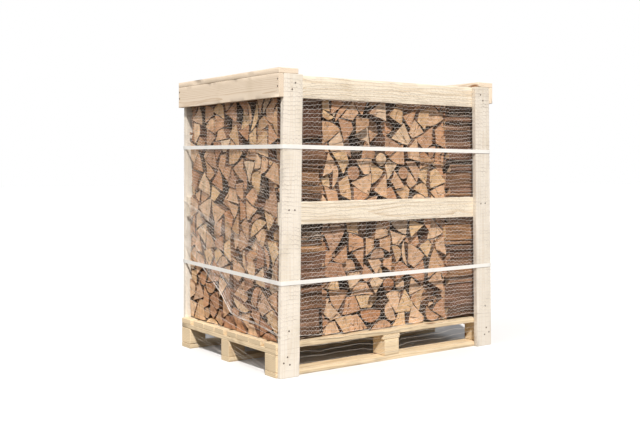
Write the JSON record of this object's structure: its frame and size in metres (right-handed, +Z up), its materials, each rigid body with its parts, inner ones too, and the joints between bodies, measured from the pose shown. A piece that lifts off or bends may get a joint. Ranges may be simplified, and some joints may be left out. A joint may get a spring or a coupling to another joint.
{
  "type": "filled firewood crate",
  "caption": "Slatted timber crate on a four-way pallet, filled with stacked split logs, wrapped in knitted netting and tied round with plastic straps.",
  "frame": {"origin": "on the ground, under the middle of the crate's outline", "axes": "+Z up; X along the pallet's long side, with the open log ends of the side columns facing -X and +X; -Y is the front, with the middle rows' log ends facing it"},
  "size_m": [1.2, 0.858, 1.227],
  "materials": {
    "pallet_timber": "rough-sawn softwood",
    "frame_timber": "fine-sawn pale softwood",
    "split_logs": "split and sawn hardwood with bark",
    "net": "knitted polyethylene tape",
    "strap": "embossed polypropylene strap",
    "nail": "dull wire-nail heads"
  },
  "bodies": {
    "root": {"skid_front": "pallet_timber", "skid_middle": "pallet_timber", "skid_back": "pallet_timber", "block_front_left": "pallet_timber", "block_front_middle": "pallet_timber", "block_front_right": "pallet_timber", "block_middle_left": "pallet_timber", "block_middle_middle": "pallet_timber", "block_middle_right": "pallet_timber", "block_back_left": "pallet_timber", "block_back_middle": "pallet_timber", "block_back_right": "pallet_timber", "stringer_left": "pallet_timber", "stringer_middle": "pallet_timber", "stringer_right": "pallet_timber", "deck_board_1": "pallet_timber", "deck_board_2": "pallet_timber", "deck_board_3": "pallet_timber", "deck_board_4": "pallet_timber", "deck_board_5": "pallet_timber", "deck_board_6": "pallet_timber", "deck_board_7": "pallet_timber", "deck_board_8": "pallet_timber", "post_front_left": "frame_timber", "post_front_right": "frame_timber", "post_back_left": "frame_timber", "post_back_right": "frame_timber", "rail_front_top": "frame_timber", "rail_front_middle": "frame_timber", "rail_back_top": "frame_timber", "rail_back_middle": "frame_timber", "side_board_left": "frame_timber", "side_board_right": "frame_timber", "top_board_left": "frame_timber", "top_board_right": "frame_timber", "log_stack_left": "split_logs", "log_stack_right": "split_logs", "log_row_front": "split_logs", "log_row_middle": "split_logs", "log_row_back": "split_logs", "net": "net", "strap_upper": "strap", "strap_lower": "strap"}
  },
  "joints": []
}
